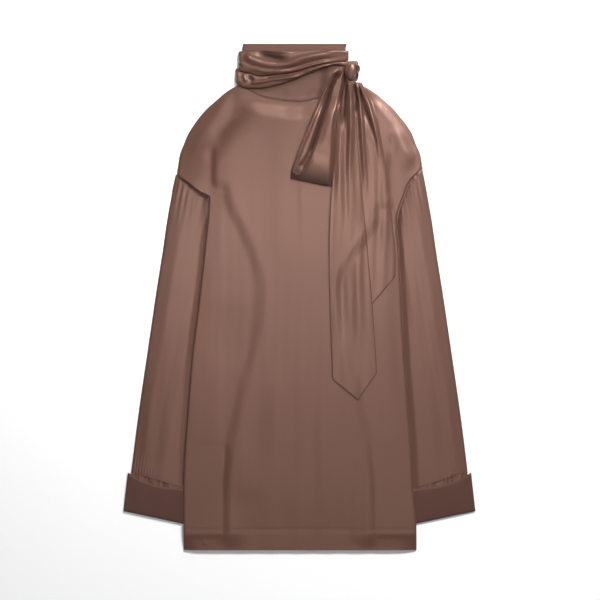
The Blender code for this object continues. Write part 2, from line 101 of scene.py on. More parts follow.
def curve(table, key):
    """The second column of a table at a key, on a smooth curve through its rows."""
    rows = np.array(sorted(table), dtype=float)
    keys, values = rows[:, 0], rows[:, 1]
    pitch = np.diff(values) / np.diff(keys)
    bend = 2.0 * np.maximum(pitch[1:] * pitch[:-1], 0.0) / (pitch[1:] + pitch[:-1] + 1e-12)
    slope = np.concatenate(([pitch[0]], bend, [pitch[-1]]))
    key = np.clip(key, keys[0], keys[-1])
    low = np.clip(np.searchsorted(keys, key, side="right") - 1, 0, len(keys) - 2)
    span = keys[low + 1] - keys[low]
    part = (key - keys[low]) / span
    rest = 1.0 - part
    from_low = values[low] * (1.0 + 2.0 * part) * rest ** 2
    from_high = values[low + 1] * part ** 2 * (1.0 + 2.0 * rest)
    return from_low + from_high + span * part * rest * (slope[low] * rest - slope[low + 1] * part)


def close_at_ends(count, share=0.65):
    """Shares from 0 to 1 that lie closer together at both ends."""
    even = np.linspace(0.0, 1.0, count)
    return mix(even, 0.5 - 0.5 * np.cos(math.pi * even), share)


def cloth(name, across, up, height, wall=CLOTH, around=False, flip=False, threads=None, painted_shade=None):
    """A sheet through a grid of points in millimetres, with its wall on the inner side. Painted shade is
    a share from 0 to 1 for each point, by which the satin's colour is painted darker and its sheen duller
    where folds would lie in shade."""
    rows, columns = across.shape
    points = np.stack([across, up - LENGTH / 2.0, height], axis=-1).reshape(-1, 3) * MM
    row, column = np.meshgrid(np.arange(rows - 1), np.arange(columns if around else columns - 1),
                              indexing="ij")
    after = (column + 1) % columns
    corners = [row * columns + column, row * columns + after,
               (row + 1) * columns + after, (row + 1) * columns + column]
    corners = np.stack(corners, axis=-1).reshape(-1, 4)
    if flip:
        corners = corners[:, ::-1]
    mesh = bpy.data.meshes.new(name)
    mesh.from_pydata(points.tolist(), [], corners.tolist())
    cut = np.stack(threads if threads else (across, up), axis=-1).reshape(-1, 2) * MM
    layer = mesh.uv_layers.new(name="cut")
    layer.data.foreach_set("uv", cut[corners.reshape(-1)].reshape(-1))
    # Painted shade: a point attribute, zero unless given, that the satin reads to paint folds and hollows
    # darker.
    shade = mesh.attributes.new("painted_fold_shade", "FLOAT", "POINT")
    if painted_shade is not None:
        shade.data.foreach_set("value", np.clip(painted_shade, 0.0, 1.0).reshape(-1).astype(np.float32))
    piece = bpy.data.objects.new(name, mesh)
    bpy.context.collection.objects.link(piece)
    thicken = piece.modifiers.new("wall", "SOLIDIFY")
    thicken.thickness = wall * MM
    thicken.offset = -1.0
    bpy.context.view_layer.objects.active = piece
    bpy.ops.object.modifier_apply(modifier="wall")
    mesh.shade_smooth()
    mesh.set_sharp_from_angle(angle=math.radians(60.0))
    return piece


def woven(name, face, shade, roughness, sheen, gloss):
    """Satin: long slubs down the cloth, a fine weave and slow changes of shade, with painted shade,
    darker and duller, wherever a piece's painted-shade attribute says so.
    """
    made = bpy.data.materials.new(name)
    made.use_nodes = True
    nodes, links = made.node_tree.nodes, made.node_tree.links
    shader = nodes["Principled BSDF"]
    cut = nodes.new("ShaderNodeUVMap")
    cut.uv_map = "cut"

    def threads(across, along, detail):
        place = nodes.new("ShaderNodeMapping")
        place.inputs["Scale"].default_value = (1.0 / (across * MM), 1.0 / (along * MM), 1.0)
        noise = nodes.new("ShaderNodeTexNoise")
        noise.inputs["Scale"].default_value = 1.0
        noise.inputs["Detail"].default_value = detail
        links.new(cut.outputs["UV"], place.inputs["Vector"])
        links.new(place.outputs["Vector"], noise.inputs["Vector"])
        return noise.outputs["Fac"]

    def blend(first, second, share):
        node = nodes.new("ShaderNodeMix")
        node.inputs["Factor"].default_value = share
        links.new(first, node.inputs["A"])
        links.new(second, node.inputs["B"])
        return node.outputs["Result"]

    slubs = threads(*SLUBS)
    weave = threads(*WEAVE)
    change = threads(*SHADE_CHANGE)
    colour = nodes.new("ShaderNodeMix")
    colour.data_type = "RGBA"
    colour.inputs["A"].default_value = (*shade, 1.0)
    colour.inputs["B"].default_value = (*face, 1.0)
    links.new(blend(blend(slubs, change, 0.5), weave, 0.25), colour.inputs["Factor"])
    # Painted shade: the piece's painted-shade attribute mixes the colour towards a dark share of the
    # shade colour and the roughness towards a high value, so folds and hollows look shaded.
    folds = nodes.new("ShaderNodeAttribute")
    folds.attribute_name = "painted_fold_shade"
    deep = nodes.new("ShaderNodeMix")
    deep.data_type = "RGBA"
    deep.inputs["B"].default_value = (*[PAINTED_SHADE_SHARE * part for part in shade], 1.0)
    links.new(folds.outputs["Fac"], deep.inputs["Factor"])
    links.new(colour.outputs["Result"], deep.inputs["A"])
    links.new(deep.outputs["Result"], shader.inputs["Base Color"])
    rough = nodes.new("ShaderNodeMapRange")
    rough.inputs["To Min"].default_value = roughness - ROUGHNESS_CHANGE
    rough.inputs["To Max"].default_value = roughness + ROUGHNESS_CHANGE
    links.new(slubs, rough.inputs["Value"])
    dull = nodes.new("ShaderNodeMix")
    dull.inputs["B"].default_value = PAINTED_SHADE_ROUGHNESS
    links.new(folds.outputs["Fac"], dull.inputs["Factor"])
    links.new(rough.outputs["Result"], dull.inputs["A"])
    links.new(dull.outputs["Result"], shader.inputs["Roughness"])
    bump = nodes.new("ShaderNodeBump")
    bump.inputs["Strength"].default_value = 0.22
    bump.inputs["Distance"].default_value = THREAD_RELIEF * MM
    links.new(blend(slubs, weave, 0.4), bump.inputs["Height"])
    links.new(bump.outputs["Normal"], shader.inputs["Normal"])
    shader.inputs["Specular IOR Level"].default_value = gloss
    shader.inputs["Specular Tint"].default_value = SHINE_TINT
    shader.inputs["Sheen Weight"].default_value = sheen
    shader.inputs["Sheen Roughness"].default_value = 0.4
    shader.inputs["Sheen Tint"].default_value = SHEEN_TINT
    return made


def underarm(across):
    """How far up the hidden part of the sleeve on a point's side goes."""
    return np.where(across < 0.0, HIDDEN_LEFT[-1].up, HIDDEN_RIGHT[-1].up)


def over_hidden(across, up, reach, width, above, fade):
    """1 over the hidden part of a sleeve, eased to 0 beside it, above it and at the hem."""
    hidden = np.where(across < 0.0, curve(HIDDEN_LEFT, up), curve(HIDDEN_RIGHT, up))
    beside = soft((np.abs(across) - hidden + reach) / width)
    return beside * soft((underarm(across) + above - up) / fade) * soft((up + 2.0) / 34.0)


def hidden_height(up, start, run):
    """How high the sleeve stands, and from a start downwards the thicker cuff."""
    return SLEEVE_THICK + UNDER_GAP + (CUFF_THICK - SLEEVE_THICK) * soft((start - up) / run)


def neck_lift(across, up):
    """How much the scarf's turns behind the neck lift the panels."""
    return COLLAR_BASE * soft((up - NECK_START) / 30.0) * soft((NECK_HALF - np.abs(across)) / 24.0)


def under_body(across, up):
    """What lifts the back off the surface."""
    over = over_hidden(across, up, reach=45.0, width=24.0, above=32.0, fade=20.0)
    return np.maximum(over * hidden_height(up, start=186.0, run=36.0), neck_lift(across, up))


def body_grid(rows, columns, drop):
    """The panel's places, with its top edge lowered by a drop table."""
    share = close_at_ends(columns)[None, :]
    row = np.linspace(0.0, NECK_UP, rows)[:, None]
    across = mix(curve(BODY_LEFT, row), curve(BODY_RIGHT, row), share)
    fade = soft((row - 600.0) / (NECK_UP - 600.0))
    return across, row - fade * curve(drop, across)


across, up = body_grid(BACK_ROWS, BACK_COLUMNS, [Place(-101, 2), Place(103, 2)])
back = cloth("back_cloth", across, up, under_body(across, up) + BACK_WALL, wall=BACK_WALL)
satin = woven("brown_satin", SATIN_FACE, SATIN_SHADE, 0.40, 0.25, 0.75)
back.data.materials.append(satin)
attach(back, "root")
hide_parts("back")


# The front: the same satin, joined to the back at the sides and shoulders, with a 3 cm hem that is
# turned up and stitched. A little air lies under it, and soft folds run down from neck and arms.

HEM_LIFT = 0.5
STITCH_DEPTH = 0.6
STITCH_HALF = 2.6
BODY_AIR = 2.9
FRONT_LOW = 1.2
FRONT_BASE = 2.0
FRONT_ROWS = 250
FRONT_COLUMNS = 126
ROLL = 4.0
NECK_DROP = [Place(-101, 0), Place(-82, 10), Place(-59, 20), Place(-37, 24), Place(-17, 27),
             Place(1, 27), Place(32, 21), Place(67, 10), Place(103, 0)]
UNDERARM_LEFT = [Edge(581, -150), Edge(619, -147), Edge(657, -144)]
UNDERARM_RIGHT = [Edge(546, 161), Edge(600, 152), Edge(650, 147)]
BUST = 6.0
CHEST_LEFT = [Edge(540, -330), Edge(600, -262), Edge(640, -215), Edge(676, -180), Edge(709, -154),
              Edge(728, -136), Edge(745, -114), Edge(760, -94)]
CHEST_RIGHT = [Edge(540, 330), Edge(600, 264), Edge(640, 222), Edge(676, 190), Edge(709, 164),
               Edge(728, 146), Edge(745, 124), Edge(760, 104)]
Fold = namedtuple("Fold", "height half start end path")
FRONT_FOLDS = [
    Fold(1.0, 40, 0.25, 0.5, [(-18, 742), (-22, 640), (-22, 500), (-20, 380)]),
    Fold(-2.2, 20, 0.35, 0.25, [(-76, 744), (-104, 718), (-128, 692), (-143, 660)]),
    Fold(0.8, 30, 0.3, 0.4, [(-118, 690), (-112, 600), (-104, 520)]),
    Fold(-1.1, 14, 0.2, 0.3, [(-145, 668), (-147, 620), (-146, 580)]),
    Fold(-1.2, 14, 0.2, 0.3, [(152, 690), (153, 620), (155, 560)]),
    Fold(1.3, 18, 0.3, 0.3, [(150, 700), (178, 650), (190, 626)]),
    Fold(-1.6, 60, 0.4, 0.4, [(-118, 420), (-115, 360), (-118, 290)]),
    Fold(1.4, 60, 0.4, 0.4, [(-90, 200), (-92, 130), (-88, 70)]),
    Fold(0.9, 26, 0.3, 0.4, [(-37, 300), (-38, 200), (-34, 90)]),
    Fold(-0.7, 18, 0.3, 0.4, [(-10, 300), (-8, 180), (-6, 70)]),
    Fold(0.8, 22, 0.3, 0.4, [(36, 290), (38, 190), (38, 80)]),
    Fold(0.8, 26, 0.3, 0.4, [(135, 430), (142, 330), (150, 220)]),
    Fold(-0.6, 22, 0.3, 0.4, [(104, 300), (110, 200), (112, 90)]),
    Fold(-1.3, 13, 0.3, 0.5, [(26, 768), (33, 735), (36, 700)]),
    Fold(0.7, 5, 0.2, 0.2, [(-164, 27), (-153, 8)]),
]


def ridge(across, up, fold):
    """A soft ridge or trough along a path, which fades towards both ends."""
    nearest = np.full(np.shape(across), 1e9)
    place = np.zeros(np.shape(across))
    legs = [math.dist(a, b) for a, b in zip(fold.path, fold.path[1:])]
    run = 0.0
    for start, end, leg in zip(fold.path, fold.path[1:], legs):
        run_x, run_y = (end[0] - start[0]) / leg, (end[1] - start[1]) / leg
        along = np.clip((across - start[0]) * run_x + (up - start[1]) * run_y, 0.0, leg)
        away = np.hypot(across - start[0] - along * run_x, up - start[1] - along * run_y)
        nearer = away < nearest
        nearest = np.where(nearer, away, nearest)
        place = np.where(nearer, (run + along) / sum(legs), place)
        run += leg
    ends = soft((place + 1e-6) / (fold.start + 1e-6)) * soft((1.0 - place + 1e-6) / (fold.end + 1e-6))
    return fold.height * soft(1.0 - nearest / fold.half) * ends


def bust(across, up):
    """The chest stands higher than the shoulders and the neckline."""
    left = soft((across - curve(CHEST_LEFT, up)) / 88.0)
    right = soft((curve(CHEST_RIGHT, up) - across) / 80.0)
    neck = soft((NECK_UP - curve(NECK_DROP, across) - up) / 34.0)
    return BUST * left * right * neck * soft((up - 240.0) / 380.0)


def creases(across, up, folds):
    return sum(ridge(across, up, fold) for fold in folds)


def drape(across, up, pitch, phase):
    """Uneven waves that run down the cloth, between -1 and 1."""
    lean = 1.4 * np.sin(up / 170.0 + phase) + 0.5 * np.sin(up / 61.0 + 2.0 * phase)
    strength = 0.55 + 0.45 * np.sin(up / 126.0 + across / 97.0 + 3.0 * phase)
    return strength * np.sin(2.0 * math.pi * across / pitch + lean + phase)


def body_air(across, up):
    """The air between front and back."""
    left, right = curve(BODY_LEFT, up), curve(BODY_RIGHT, up)
    edge = soft((across - left) / 26.0) * soft((right - across) / 26.0)
    tuck_left = (1.0 - soft((across - curve(UNDERARM_LEFT, up)) / 9.0)) * soft((672.0 - up) / 45.0)
    tuck_right = (1.0 - soft((curve(UNDERARM_RIGHT, up) - across) / 9.0)) * soft((660.0 - up) / 45.0)
    tuck = 1.0 - np.where(up > 581.0, tuck_left, 0.0) - np.where(up > 546.0, tuck_right, 0.0)
    neck = 1.0 - soft((up - 684.0) / 56.0) * soft((135.0 - np.abs(across)) / 30.0)
    room = np.maximum(0.15, BODY_AIR - 0.75 * under_body(across, up))
    return REST + room * edge * np.maximum(0.0, tuck) * neck


def over_sleeves(across, up):
    """The lift of the front: the back's, eased over a wider strip, and nearly as much between."""
    sides = over_hidden(across, up, reach=90.0, width=68.0, above=62.0, fade=50.0)
    middle = 0.85 * soft((underarm(across) + 162.0 - up) / 240.0) * soft((up + 20.0) / 170.0)
    lift = hidden_height(up, start=360.0, run=210.0) * (sides ** 5 + middle ** 5) ** 0.2
    return np.maximum(lift, neck_lift(across, up))


def front_top(across, up):
    """The front's outer face without its rolled edges."""
    air = body_air(across, up)
    free = soft((air - REST) / 1.2)
    waves = 0.22 * drape(across, up, 47.0, 0.4) + 0.08 * drape(across, up, 19.0, 1.9)
    folds = creases(across, up, FRONT_FOLDS) + waves * soft((700.0 - up) / 120.0)
    folds = folds * (0.25 + 0.75 * free)
    stitched = STITCH_DEPTH * np.exp(-((up - HEM_DEPTH) / STITCH_HALF) ** 2)
    hem = HEM_LIFT * soft((HEM_DEPTH + 2.0 - up) / 3.0) - stitched
    low = np.maximum(folds, -0.8 * (air - REST) - 0.6)
    return over_sleeves(across, up) + FRONT_BASE + air + low + hem + bust(across, up)


def rolled(top, low, away, radius):
    """Lets a face roll down to a low level over the last millimetres of an edge."""
    short = np.clip(1.0 - away / radius, 0.0, 1.0)
    return low + (top - low) * np.sqrt(1.0 - short ** 2)


def from_sides(across):
    """How far each point of a grid is from the nearer side."""
    return np.minimum(across - across[:, :1], across[:, -1:] - across)


across, up = body_grid(FRONT_ROWS, FRONT_COLUMNS, NECK_DROP)
height = rolled(front_top(across, up), under_body(across, up) + FRONT_LOW, from_sides(across), ROLL)
front = cloth("front_cloth", across, up, height)
front.data.materials.append(satin)
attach(front, "root")
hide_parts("front")


# Each sleeve: a tube of satin laid flat, its head gathered into the armhole and its lower end into
# the cuff. Its inner half lies under the body.

SEAM = 0.3
SEAM_DIP = 0.9
SLEEVE_AIR = 2.2
GATHER_PITCH = 0.055
TUG_PITCH = 0.037
CUFF_LAYER = 1.3
SLEEVE_ROWS = 170
SLEEVE_COLUMNS = 76
ARMHOLE_LEFT = [Place(-202, 619), Place(-186, 606), Place(-169, 592), Place(-150, 581),
                Place(-128, 520), Place(-98, 429)]
ARMHOLE_RIGHT = [Place(202, 632), Place(182, 607), Place(171, 580), Place(163, 556),
                 Place(161, 546), Place(135, 490), Place(98, 429)]
SLEEVE_OUTER = [Edge(129, 277), Edge(165, 273), Edge(248, 262), Edge(330, 250), Edge(412, 238),
                Edge(495, 225), Edge(544, 218), Edge(578, 212), Edge(602, 208), Edge(619, 204),
                Edge(632, 202)]
CUFF_SEAM = [Place(277, 129), Place(156, 92)]
SLEEVE_STREAKS = [(0.13, 0.35, 0.07), (0.27, -0.25, 0.06), (0.40, 0.3, 0.07)]


def along(places, share):
    """Points that lie given shares of the way along a line through places."""
    line = np.array(places, dtype=float)
    run = np.concatenate(([0.0], np.cumsum(np.hypot(*np.diff(line, axis=0).T))))
    return np.interp(share * run[-1], run, line[:, 0]), np.interp(share * run[-1], run, line[:, 1])


def around_tube(top, low, lift, edge_points=5):
    """Closes a flattened tube: from its upper face's grid, round an edge, back under and up."""
    across, up = top
    bulge = (lift[:, -1:] - low) / 2.0
    angles = np.linspace(90.0, -90.0, edge_points + 2)[None, 1:-1]
    sine, cosine = np.sin(np.radians(angles)), np.cos(np.radians(angles))
    out_x = np.sign(across[:, -1:] - across[:, :1]) * np.minimum(bulge, 2.0)
    first_bulge = (lift[:, :1] - low) / 2.0
    far = [across[:, -1:] + out_x * (cosine - 1.0), up[:, -1:] + 0.0 * cosine,
           low + bulge + bulge * sine]
    under_x, under_up = across[:, ::-3], up[:, ::-3]
    under = [under_x, under_up, np.full_like(under_x, 1.0) * low]
    near = [across[:, :1] - out_x * (cosine[:, ::-1] - 1.0), up[:, :1] + 0.0 * cosine,
            low + first_bulge + first_bulge * sine[:, ::-1]]
    whole = []
    for axis, face in enumerate((across, up, lift)):
        whole.append(np.concatenate([face, far[axis], under[axis], near[axis]], axis=1))
    return whole


for side, name, armhole, body_edge in ((-1.0, "left", ARMHOLE_LEFT, BODY_LEFT),
                                       (1.0, "right", ARMHOLE_RIGHT, BODY_RIGHT)):
    share = close_at_ends(SLEEVE_COLUMNS, 0.5)[None, :]
    run = 1.0 - close_at_ends(SLEEVE_ROWS, 0.35)[:, None]
    head = [Place(p.across + 2.0 * SEAM * side, p.up - SEAM) for p in armhole]
    seam_end = [Place(side * p.across, p.up + SEAM) for p in CUFF_SEAM]
    outer_line = [Place(side * float(curve(SLEEVE_OUTER, level)), level)
                  for level in np.linspace(armhole[0].up - SEAM, CUFF_SEAM[0].up + SEAM, 24)]
    outer = along(outer_line, run)
    inner = along([head[-1], seam_end[-1]], run)
    above = along(head, share)
    below = along(seam_end, share)
    grid = []
    for axis in (0, 1):
        straight = mix(outer[axis], inner[axis], share)
        at_head = above[axis] - mix(head[0][axis], head[-1][axis], share)
        at_cuff = below[axis] - mix(seam_end[0][axis], seam_end[-1][axis], share)
        grid.append(straight + (1.0 - run) * at_head + run * at_cuff)
    across, up = grid
    edge = curve(body_edge, np.minimum(up, 540.0))
    outside = curve(SLEEVE_OUTER, up)
    reach = np.clip((outside - np.abs(across)) / np.maximum(1.0, outside - np.abs(edge)), 0.0, 1.0)
    swell = SLEEVE_AIR * np.sin(math.pi * reach) ** 0.7 - 1.6 * soft((reach - 0.86) / 0.14)
    fan = np.cos(2.0 * math.pi * (share / GATHER_PITCH + 0.4 * np.sin(9.0 * share)))
    gather = 0.9 * (0.5 + 0.5 * fan) * soft((0.42 - share) / 0.08) * soft((0.20 - run) / 0.20) ** 1.5
    tug = 0.6 * np.cos(2.0 * math.pi * share / TUG_PITCH + 1.0)
    tug = tug * soft((run - 0.9) / 0.1) * soft((0.6 - share) / 0.1)
    streaks = sum(rise * soft(1.0 - np.abs(share - at) / wide) for at, rise, wide in SLEEVE_STREAKS)
    streaks = streaks * (0.45 + 0.55 * np.sin(math.pi * run) ** 0.5) + 0.13 * drape(across, up, 31.0, 0.9)
    seam_dip = -SEAM_DIP * np.exp(-(run / 0.008) ** 2)
    raised = CUFF_LAYER * soft((run - 0.93) / 0.07)
    lift = raised + SLEEVE_THICK + swell + gather + tug + streaks * soft(share / 0.06) + seam_dip
    lift = rolled(lift, raised + 0.5 * SLEEVE_THICK, np.abs(across[:, :1] - across), 3.0)
    over = np.abs(across) < np.abs(edge) + 2.0
    lift = np.where(over, np.minimum(lift, raised + SLEEVE_THICK - 1.2), lift)
    whole = around_tube((across, up), raised, lift)
    sleeve = cloth("sleeve_" + name + "_cloth", *whole, around=True, flip=side > 0.0)
    sleeve.data.materials.append(satin)
    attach(sleeve, "root")
    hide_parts("sleeve_" + name)


# The armhole seams: the turned edges of body and sleeve, pressed into the join, with the pull of
# the sleeve's gathers in them.

SEAM_LEVEL = 1.3
SEAM_RISE = 0.7
SEAM_HALF = 2.2
SEAM_PUCKER = 0.25


def seam_strip(name, places):
    """A narrow strip of cloth along a join, crossed by small puckers."""
    lengths = np.linspace(0.0, 1.0, 220)[:, None]
    across, up = along(places, lengths)
    ahead_x, ahead_up = along(places, np.minimum(1.0, lengths + 0.004))
    behind_x, behind_up = along(places, np.maximum(0.0, lengths - 0.004))
    run_x, run_up = ahead_x - behind_x, ahead_up - behind_up
    size = np.hypot(run_x, run_up)
    share = np.linspace(-1.0, 1.0, 9)[None, :]
    wave = SEAM_PUCKER * np.sin(lengths * 190.0 + 2.0 * np.sin(lengths * 31.0))
    top = SEAM_LEVEL + SEAM_RISE * (1.0 - share ** 2) + wave * (1.0 - share ** 2)
    strip = cloth(name, across - share * SEAM_HALF * run_up / size,
                  up + share * SEAM_HALF * run_x / size, top, wall=0.4, flip=True)
    strip.data.materials.append(satin)
    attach(strip, "root")


for name, seen in (("left", ARMHOLE_LEFT[:4]), ("right", ARMHOLE_RIGHT[:5])):
    seam_strip("armhole_seam_" + name, seen)


# Each cuff: a deep band of the same satin, matt side out, turned back over the sleeve's end. A
# sliver of the gathered sleeve shows between its seam and the band's free edge.

CUFF_FREE_EDGE = [Place(283, 127), Place(262, 115), Place(236, 106), Place(190, 100), Place(154, 89)]
CUFF_BOTTOM = [Place(290, 64), Place(154, 35)]
REVERSE_FACE = (0.082, 0.038, 0.031)
REVERSE_SHADE = (0.060, 0.027, 0.022)
reverse = woven("brown_satin_reverse", REVERSE_FACE, REVERSE_SHADE, 0.62, 0.2, 0.35)
CUFF_COLUMNS = 60
CUFF_END_LOW = 2.2
CUFF_LIP_LOW = 4.0
SLIVER_DEPTH = 24.0
SLIVER_THICK = 3.3
SLIVER_BLOBS = [(0.12, 0.9, 0.05), (0.30, 1.3, 0.07), (0.52, 1.5, 0.09), (0.73, 1.0, 0.05)]

for side, name in ((-1.0, "left"), (1.0, "right")):
    share = close_at_ends(CUFF_COLUMNS, 0.5)[None, :]
    bottom = along([Place(side * p.across, p.up) for p in CUFF_BOTTOM], share)
    free = along([Place(side * p.across, p.up) for p in CUFF_FREE_EDGE], share)
    seam = along([Place(side * p.across, p.up) for p in CUFF_SEAM], share)
    down = close_at_ends(34, 0.5)[::-1, None]
    grid = [mix(free[axis], bottom[axis], down) for axis in (0, 1)]
    puff = 0.8 * np.sin(math.pi * np.clip(share, 0.0, 1.0)) * np.sin(math.pi * down) ** 0.6
    buckle = 0.35 * drape(grid[0], grid[1], 37.0, 2.2 + side)
    lift = CUFF_THICK + puff + buckle * np.sin(math.pi * down)
    end = soft((1.0 - down) / 0.06) ** 0.5
    lift = CUFF_END_LOW + (lift - CUFF_END_LOW) * np.maximum(end, 0.15)
    lip = soft(down / 0.05) ** 0.5
    lift = CUFF_LIP_LOW + (lift - CUFF_LIP_LOW) * np.maximum(lip, 0.25)
    lift = rolled(lift, CUFF_THICK / 2.0, np.abs(grid[0][:, :1] - grid[0]), 3.0)
    whole = around_tube(grid, 0.0, lift)
    cuff = cloth("cuff_" + name + "_band", *whole, wall=0.8, around=True, flip=side > 0.0)
    cuff.data.materials.append(reverse)
    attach(cuff, "root")
    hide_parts("cuff_" + name)
    down = np.linspace(1.0, 0.0, 24)[:, None]
    grid = [seam[0] + 0.0 * down, seam[1] - SLIVER_DEPTH * down]
    knobs = sum(rise * soft(1.0 - np.abs(share - at - 0.03 * (down - 0.5)) / wide)
                for at, rise, wide in SLIVER_BLOBS)
    ripple = 0.45 * np.cos(2.0 * math.pi * (share / GATHER_PITCH + 0.5 * np.sin(11.0 * share + side)))
    lift = SLIVER_THICK + (knobs + ripple) * soft((1.0 - down) / 0.4)
    whole = around_tube(grid, CUFF_LAYER, lift)
    sliver = cloth("cuff_" + name + "_gathers", *whole, around=True, flip=side > 0.0)
    sliver.data.materials.append(satin)
    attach(sliver, "root")


# The collar: a soft funnel of satin, seamed into the neckline and laid flat. Its front shows under
# the scarf and as a narrow strip above it.

COLLAR_THICK = 2.6
COLLAR_TOP = COLLAR_BASE + COLLAR_THICK
COLLAR_ROWS = 40
COLLAR_COLUMNS = 90
COLLAR_STAND = 800.0
NECK_SEAM_RISE = 0.7
NECK_SEAM_DIP = 0.8
COLLAR_LEFT = [Edge(768, -98), Edge(800, -95), Edge(LENGTH, -93)]
COLLAR_RIGHT = [Edge(768, 97), Edge(790, 81), Edge(802, 76), Edge(826, 76), Edge(LENGTH, 78)]
COLLAR_FOLDS = [
    Fold(0.8, 12, 0.3, 0.3, [(-30, 742), (-10, 765), (20, 788)]),
    Fold(-0.7, 9, 0.3, 0.3, [(0, 740), (18, 762), (40, 785)]),
    Fold(0.7, 9, 0.2, 0.3, [(36, 748), (42, 765), (50, 790)]),
]
COLLAR_SHADOW = Fold(1.0, 13, 0.2, 0.2, [(30, 742), (40, 762), (44, 800)])
row_up = np.linspace(NECK_UP + SEAM, LENGTH, COLLAR_ROWS)[:, None]
share = close_at_ends(COLLAR_COLUMNS, 0.5)[None, :]
run = (LENGTH - row_up) / (LENGTH - NECK_UP - SEAM)
across = mix(curve(COLLAR_LEFT, row_up), curve(COLLAR_RIGHT, row_up), share)
up = row_up - curve(NECK_DROP, across) * run
lift = COLLAR_TOP + creases(across, up, COLLAR_FOLDS)
lift = lift + NECK_SEAM_RISE * np.exp(-((1.0 - run) / 0.05) ** 2)
lift = lift - NECK_SEAM_DIP * np.exp(-((1.0 - run) / 0.012) ** 2)
WRAP_LOWER_EDGE = [Place(-105, 771), Place(-96, 763), Place(-83, 760), Place(-63, 760.5),
                   Place(-39, 765), Place(-11, 774), Place(17, 785), Place(43, 795),
                   Place(60, 799), Place(78, 796), Place(95, 790)]
# Painted shade on the collar's front: a little everywhere, more towards and under the scarf's lower edge
# and along a streak where the collar runs under the loop, and less on the strip above the scarf.
shade = 0.18 + 0.45 * soft((up - curve(WRAP_LOWER_EDGE, across) + 12.0) / 12.0)
shade = shade + 0.45 * creases(across, up, [COLLAR_SHADOW])
shade = np.where(up > COLLAR_STAND, 0.1, shade)
lift = rolled(lift, COLLAR_BASE + 1.3, from_sides(across), 2.5)
whole = around_tube((across, up), COLLAR_BASE, lift)
painted_shade = np.zeros(whole[0].shape)
painted_shade[:, :share.size] = shade
collar = cloth("collar_cloth", *whole, around=True, painted_shade=painted_shade)
collar.data.materials.append(satin)
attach(collar, "root")
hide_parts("collar")


# The scarf: one long strip of satin, wound twice round the collar. Each turn is gathered to a soft
# roll in front, goes round the collar's side and lies pressed behind the neck.

SCARF_FACE = (0.098, 0.045, 0.032)
SCARF_SHADE = (0.070, 0.031, 0.021)
scarf_satin = woven("scarf_satin", SCARF_FACE, SCARF_SHADE, 0.36, 0.25, 0.75)
WRAP_BASE = COLLAR_TOP + REST
WRAP_CORNER = 4.0
WRAP_ROWS = 44
WRAP_COLUMNS = 150
BEHIND_COLUMNS = 40
STRIP_HALF = 70.0
WRAP_UPPER_EDGE = [Place(-100, 820), Place(-94, 822), Place(-60, 823), Place(-20, 823), Place(20, 824),
                   Place(60, 825), Place(74, 824), Place(81, 819)]
WRAP_SPLIT = [Place(-100, 788), Place(-86, 785), Place(-63, 780), Place(-39, 782), Place(-11, 786),
              Place(24, 796), Place(57, 803), Place(95, 806)]
UPPER_FOLDS = [
    Fold(3.4, 10, 0.1, 0.2, [(-92, 816), (-80, 808), (-62, 801), (-38, 797), (-16, 800), (10, 808)]),
    Fold(2.6, 7, 0.3, 0.1, [(-20, 804), (17, 812), (45, 817), (79, 820)]),
    Fold(2.6, 6, 0.3, 0.1, [(40, 821), (62, 822), (80, 820)]),
    Fold(-2.4, 5, 0.3, 0.3, [(-40, 791), (-15, 793), (10, 800), (40, 808), (74, 811)]),
    Fold(1.6, 6, 0.2, 0.2, [(-90, 796), (-60, 788), (-30, 787), (0, 792), (30, 801), (62, 806)]),
    Fold(2.2, 4, 0.3, 0.3, [(-76, 823), (-50, 822), (-26, 820), (-8, 819)]),
]
UPPER_HOLLOWS = [
    Fold(1.0, 9, 0.35, 0.3, [(-74, 817), (-58, 816), (-42, 812), (-26, 808), (-16, 806)]),
    Fold(0.8, 4, 0.1, 0.3, [(-98, 800), (-97, 792)]),
]
LOWER_FOLDS = [
    Fold(2.4, 5, 0.05, 0.3, [(-80, 769), (-62, 771), (-43, 775), (-3, 779), (12, 785)]),
    Fold(1.8, 5, 0.2, 0.3, [(-91, 785), (-90, 777), (-88, 769)]),
    Fold(2.0, 5, 0.2, 0.2, [(5, 786), (30, 794), (52, 800)]),
    Fold(2.2, 5, 0.3, 0.3, [(50, 800), (64, 804), (74, 801)]),
]
LOWER_HOLLOWS = [
    Fold(0.9, 5, 0.2, 0.3, [(-82, 783), (-80, 776), (-74, 773)]),
    Fold(0.7, 4, 0.2, 0.3, [(-60, 776), (-40, 779), (-8, 783)]),
]


